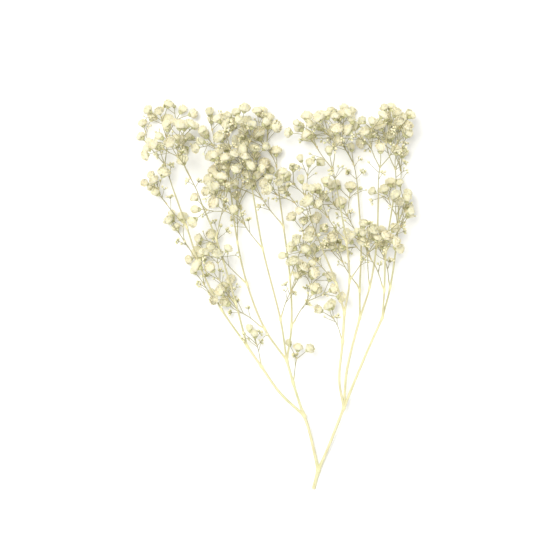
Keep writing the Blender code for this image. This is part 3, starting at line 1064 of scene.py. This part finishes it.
def bud_mesh():
    """A closed bud in its calyx, with a radius of 1."""
    bm = bmesh.new()
    uv = bm.loops.layers.uv.new("petal")
    add_calyx(bm, BUD_CALYX)
    add_furrowed_ball(bm, uv, u_segments=20, v_segments=10)
    return mesh_of("bud_shape", bm)


def small_bud_mesh():
    """A bud too small for a calyx of its own: the lower faces of the ball take its place, with five teeth."""
    bm = bmesh.new()
    uv = bm.loops.layers.uv.new("petal")
    for face in add_furrowed_ball(bm, uv, u_segments=10, v_segments=7):
        middle = face.calc_center_median()
        tooth = math.cos(5 * math.atan2(middle.y, middle.x)) > 0
        face.material_index = int(middle.z < SMALL_CALYX[tooth])
    return mesh_of("small_bud_shape", bm)


BUD = bud_mesh()
SMALL_BUD = small_bud_mesh()
print("a bud has", len(BUD.polygons), "faces and a small one", len(SMALL_BUD.polygons))

# %% [markdown]
# ## The flowers
# The single wild flower has five petals. The garden double has dozens, in whorls that wrap a ball, the
# outer ones broad and cupped and the inner ones a crumpled tuft. A flower that hasn't opened fully is a
# goblet on a narrow foot. Modelling every flower anew would be slow, so a few shapes of each kind are
# made once and copied. The petals get their real thickness of about a tenth of a millimetre, which gives
# each two sides and a rim.

# %% The flowers
OPEN_WHORLS = [
    Whorl(6, (0.13, -0.62), (1.10, -0.64), (0.92, 0.30), 0.60, 0.09),
    Whorl(6, (0.11, -0.55), (0.92, -0.34), (0.70, 0.58), 0.50, 0.09),
    Whorl(5, (0.08, -0.50), (0.66, 0.00), (0.42, 0.74), 0.40, 0.08),
    Whorl(3, (0.05, -0.40), (0.34, 0.24), (0.14, 0.80), 0.30, 0.07),
]
HALF_OPEN_WHORLS = [
    Whorl(5, (0.12, -0.66), (0.74, -0.66), (0.66, 0.58), 0.54, 0.07),
    Whorl(5, (0.10, -0.58), (0.60, -0.30), (0.42, 0.78), 0.42, 0.07),
    Whorl(3, (0.05, -0.40), (0.32, 0.20), (0.14, 0.84), 0.30, 0.06),
]
PETAL_THICKNESS = 0.033
PETAL_PLAY = 0.12
SHAPES_OF_A_KIND = 4


def calyx_mesh():
    """The calyx of a flower with a radius of 1."""
    bm = bmesh.new()
    bm.loops.layers.uv.new("petal")
    add_calyx(bm, FLOWER_CALYX)
    return mesh_of("calyx_shape", bm)


def flower_mesh(name, whorls, seed):
    """A flower of a radius of 1: its whorls of petals, and its calyx."""
    rng = random.Random(seed)
    bm = bmesh.new()
    uv = bm.loops.layers.uv.new("petal")
    for whorl in whorls:
        start = rng.uniform(0, math.tau)
        for number in range(whorl.count):
            turn = start + math.tau * number / whorl.count + rng.uniform(-PETAL_PLAY, PETAL_PLAY)
            add_petal(bm, uv, whorl, turn, rng)
    bmesh.ops.solidify(bm, geom=bm.faces[:], thickness=PETAL_THICKNESS)
    bmesh.ops.recalc_face_normals(bm, faces=bm.faces)
    bm.from_mesh(CALYX_SHAPE)
    return mesh_of(name, bm)


CALYX_SHAPE = calyx_mesh()
SHAPES = {"open": [], "half_open": [], "bud": [BUD]}
for number in range(SHAPES_OF_A_KIND):
    SHAPES["open"].append(flower_mesh(f"open_{number}", OPEN_WHORLS, f"open {number}"))
    SHAPES["half_open"].append(flower_mesh(f"half_{number}", HALF_OPEN_WHORLS, f"half open {number}"))
print("an open flower has", len(SHAPES["open"][0].polygons), "faces")

# %% [markdown]
# ## Twigs
# A twig is as thin as a thread at its tip. It bows to one side up to its fork and to the other above it,
# because each fork pushed it over. The bow is kept with the shoot, so that what grows on the twig later
# finds its middle line. A twig is knotted at its fork and its foot. Where a branch goes on into its last
# spray there is no knot, and the first twig is as thick as the branch there.

# %% Twigs
TWIG_SIDES = 6
BOWS = (0.012, 0.035)
THINNEST_TWIG = 0.17 * MM
THICKER_BY_LENGTH = 0.006
TWIG_TAPER = 0.3
TWIG_STEPS = (0, 0.05, 0.14, 0.28, 0.42, 0.52, 0.57, 0.60, 0.63, 0.68, 0.76, 0.84, 0.92)
SHORTEST_STEP = 0.02
KNOT = 0.8
FOOT_KNOT = 0.7
KNOT_REACH = 0.8 * MM


def bow_twigs(name, shoots):
    """Give each twig of a spray a bow to a random side."""
    rng = random.Random(f"{name} bows")
    for shoot in shoots:
        turned = Matrix.Rotation(rng.uniform(0, math.tau), 3, shoot.along())
        shoot.bow = turned @ shoot.along().orthogonal().normalized() * rng.uniform(*BOWS) * shoot.length()


def twig_line(shoot, foot_radius):
    """The middle line of a twig, its radii, and where it is part of a joint."""
    length = shoot.length()
    thick = THINNEST_TWIG + THICKER_BY_LENGTH * length
    path, radii, marks = [], [], []
    shares = [share for share in TWIG_STEPS if share < shoot.last() - SHORTEST_STEP]
    for share in [*shares, shoot.last()]:
        at_fork = closeness((share - FORK_SHARE) * length, KNOT_REACH) if shoot.orders > 1 else 0
        at_foot = 0 if foot_radius else FOOT_KNOT * closeness(share * length, KNOT_REACH)
        radius = thick * (1 - TWIG_TAPER * share) * (1 + KNOT * max(at_fork, at_foot))
        passage = closeness(share * length, FLARE_REACH)
        path.append(shoot.bowed(share))
        radii.append(max(radius, radius + (foot_radius - radius) * passage))
        marks.append(max(at_fork, at_foot))
    return path, radii, marks


for name, shoots in sprays.items():
    bow_twigs(name, shoots)
tips = [2 * twig_line(shoot, 0)[1][-1] / MM for shoots in sprays.values() for shoot in shoots]
print("the twigs end", round(min(tips), 2), "to", round(max(tips), 2), "mm thick")

# %% [markdown]
# ## Bracts
# A bract is a pointed scale, a millimetre or two long, that clasps the stem. It is a small grid like a
# petal, drawn to a point, hollowed towards the stem and given a thickness.

# %% Bracts
BRACT_THICKNESS = 0.07 * MM
BRACT_LENGTHS = (1.3, 2.2)
# Half the width of a bract and the lift of its tip, as shares of its length, and how hollow it is.
BRACT_WIDTH = 0.32
BRACT_CURL = 0.24
BRACT_HOLLOW = 0.35
# How far a bract points along the stem and away from it.
BRACT_LEAN = (0.92, 0.38)


def add_bract(bm, at, along, outward, length):
    """Add a dry scale that stands at a joint and points along a direction."""
    known = len(bm.faces)
    turned = Matrix((outward.cross(along).normalized(), outward, along)).transposed()
    made = bmesh.ops.create_grid(bm, x_segments=2, y_segments=3, size=1)["verts"]
    for vert in made:
        across, share = vert.co.x, (vert.co.y + 1) / 2
        width = BRACT_WIDTH * length * (1 - share) ** 0.7
        lift = BRACT_CURL * length * share**1.6 - BRACT_HOLLOW * width * abs(across)
        vert.co = at + turned @ Vector((across * width, lift, share * length))
    bm.faces.ensure_lookup_table()
    bmesh.ops.solidify(bm, geom=bm.faces[known:], thickness=BRACT_THICKNESS)
    bm.faces.ensure_lookup_table()
    for face in bm.faces[known:]:
        face.material_index = 1


def add_bract_under(bm, shoot, stem_radius, length):
    """Add the bract of a side shoot, on the side of the stem that the shoot leaves on."""
    along = shoot.along()
    outward = along - shoot.carrier * along.dot(shoot.carrier)
    # A shoot that goes nearly straight on has no side for a bract.
    if outward.length < 0.05:
        return
    outward.normalize()
    direction = (shoot.carrier * BRACT_LEAN[0] + outward * BRACT_LEAN[1]).normalized()
    square = (outward - direction * outward.dot(direction)).normalized()
    at = shoot.foot + outward * stem_radius * 0.8 - shoot.carrier * stem_radius
    add_bract(bm, at, direction, square, length)


print("bracts of", BRACT_LENGTHS[0], "to", BRACT_LENGTHS[1], "mm")

# %% [markdown]
# ## Clusters of small buds
# Between the flowers hang clusters of white buds that never opened, on stalks like threads. They are too
# small for the solids, so they are added here. Each twig is tried a few times, and where a cluster finds
# room, it stays. Its buds are spread by the golden angle, so that no two stand in line.

# %% Clusters of small buds
CLUSTER_SIZES = (1, 2, 4, 5, 6, 7)
SMALL_BUD_RADII = (0.65, 1.05)
BUD_STALKS = (1.5, 2.8)
CLUSTER_STALKS = (3.5, 8.0)
CLUSTER_RADIUS = 2.4 * MM
STALK_RADIUS = 0.15 * MM
STALKS_TO_TRY = 4
STALK_SHARES = (0.25, 0.58)
STALK_ANGLES = (0.5, 0.95)
CLUSTER_SPREAD = 1.1
LONE_BUD_ANGLE = 0.2
BUD_PLAY = 0.1
GOLDEN_ANGLE = math.radians(137.5)


def draw_cluster(rng, foot, middle, count):
    """The buds of a cluster, as shoots from the middle of it."""
    along = (middle - foot).normalized()
    buds = []
    for number in range(count):
        angle = LONE_BUD_ANGLE if count == 1 else CLUSTER_SPREAD * math.sqrt((number + 0.5) / count)
        angle += rng.uniform(-BUD_PLAY, BUD_PLAY)
        direction = leaning(along, angle, number * GOLDEN_ANGLE)
        radius = rng.uniform(*SMALL_BUD_RADII) * MM
        tip = middle + direction * rng.uniform(*BUD_STALKS) * MM
        tip.z = max(tip.z, radius + JOINT_GAP)
        buds.append(Shoot(middle, tip, "small_bud", radius, along, 1))
    return buds


def grow_clusters(space, name, shoots):
    """Grow clusters of buds where a spray has room for them. Returns their feet, middles and buds."""
    rng = random.Random(f"{name} clusters")
    grown = []
    for shoot in shoots:
        for _ in range(STALKS_TO_TRY):
            foot = shoot.bowed(rng.uniform(*STALK_SHARES))
            direction = leaning(shoot.along(), rng.uniform(*STALK_ANGLES), rng.uniform(0, math.tau))
            middle = foot + direction * rng.uniform(*CLUSTER_STALKS) * MM
            count = rng.choice(CLUSTER_SIZES)
            buds = draw_cluster(rng, foot, middle, count)
            reach = CLUSTER_RADIUS if count > 2 else SMALL_BUD_RADII[1] * MM
            heart = middle + direction * BUD_STALKS[0] * MM
            everything = np.ones(len(space.owners), bool)
            if (
                middle.z > reach
                and is_in_crown(heart, reach)
                and space.is_clear(everything, heart, heart, reach)
                and space.is_clear(everything, foot.lerp(middle, 0.5), middle, STALK_RADIUS)
            ):
                space.take(name, heart, heart, reach)
                space.take(name, foot, middle, STALK_RADIUS)
                grown.append((foot, middle, buds))
    return grown


clusters = {name: grow_clusters(space, name, shoots) for name, shoots in sprays.items()}
small_buds = {name: [bud for _, _, buds in grown for bud in buds] for name, grown in clusters.items()}
print(sum(map(len, clusters.values())), "clusters with", sum(map(len, small_buds.values())), "small buds")

# %% [markdown]
# ## A flower on its twig
# A real flower is never quite round and never quite straight on its stalk. Each is copied from one of the
# shapes, turned to its twig, and given its size, a slight squash, a small nod and a tint of its own.

# %% A flower on its twig
SQUASH = 0.08
NOD = math.radians(7)


def add_flower(bm, shape, shoot, rng, tint_layer):
    """Copy a flower's shape to the end of its twig."""
    known = len(bm.verts)
    bm.from_mesh(shape)
    bm.verts.ensure_lookup_table()
    added = bm.verts[known:]
    turned = shoot.along().to_track_quat("Z", "Y").to_matrix().to_4x4()
    size = [shoot.radius * (1 + rng.uniform(-1, 1) * SQUASH) for _ in range(3)]
    rolled = Matrix.Rotation(rng.uniform(0, math.tau), 4, "Z")
    neck = Matrix.Translation((0, 0, -CALYX_FOOT * shoot.radius))
    nodding = neck @ Matrix.Rotation(rng.uniform(-1, 1) * NOD, 4, "X") @ neck.inverted()
    matrix = Matrix.Translation(shoot.tip) @ turned @ nodding @ Matrix.Diagonal((*size, 1)) @ rolled
    bmesh.ops.transform(bm, matrix=matrix, verts=added)
    tint = rng.random()
    for vert in added:
        vert[tint_layer] = tint


print(f"flowers are squashed by up to {SQUASH:.0%} and nod by up to {math.degrees(NOD):.0f} degrees")

# %% [markdown]
# ## The sprays
# Each spray becomes two pieces: its twigs in bark, with the bracts and the threadlike stalks of the small
# buds, and its flowers. Both stand for the spray's one solid, and the whole stem stays under a hundred
# pieces.

# %% The sprays
STALK_SIDES = 4
STALK_ARCH = 0.15 * MM
STALK_TAPER = (1.2, 1, 0.8)


def add_stalk(bm, foot, tip):
    """Add a stalk like a thread, arched a little."""
    path = [foot, foot.lerp(tip, 0.5) + UP * STALK_ARCH, tip]
    sweep(bm, path, [STALK_RADIUS * share for share in STALK_TAPER], [0, 0, 0], STALK_SIDES, 0)


def make_twigs(name, shoots):
    """The twigs of a spray, with their bracts and the stalks of the small buds."""
    rng = random.Random(f"{name} twigs")
    bm = bmesh.new()
    root, root_radius = roots[name]
    for shoot in shoots:
        is_first = shoot is shoots[0]
        path, radii, marks = twig_line(shoot, root_radius if is_first else 0)
        if is_first:
            path.insert(0, root)
            radii.insert(0, radii[0])
            marks.insert(0, marks[0])
        else:
            add_bract_under(bm, shoot, radii[0], rng.uniform(*BRACT_LENGTHS) * MM)
        sweep(bm, path, radii, marks, TWIG_SIDES, 0)
    for foot, middle, buds in clusters[name]:
        add_stalk(bm, foot, middle)
        for bud in buds:
            add_stalk(bm, bud.foot, bud.tip - bud.along() * bud.radius * 0.8)
    bmesh.ops.recalc_face_normals(bm, faces=bm.faces)
    return finish_piece(f"{name}_twigs", bm, name, [BARK, SCALE])


def make_flowers(name, shoots):
    """The flowers and buds of a spray."""
    rng = random.Random(f"{name} flowers")
    bm = bmesh.new()
    tint_layer = bm.verts.layers.float.new("tint")
    for shoot in shoots:
        add_flower(bm, rng.choice(SHAPES[shoot.kind]), shoot, rng, tint_layer)
    for bud in small_buds[name]:
        add_flower(bm, SMALL_BUD, bud, rng, tint_layer)
    return finish_piece(f"{name}_flowers", bm, name, [PETAL, CALYX])


faces_made = 0
for name, shoots in sprays.items():
    for piece in (make_twigs(name, shoots), make_flowers(name, shoots)):
        faces_made += len(piece.data.polygons)
print(len(sprays), "sprays with", faces_made, "faces")
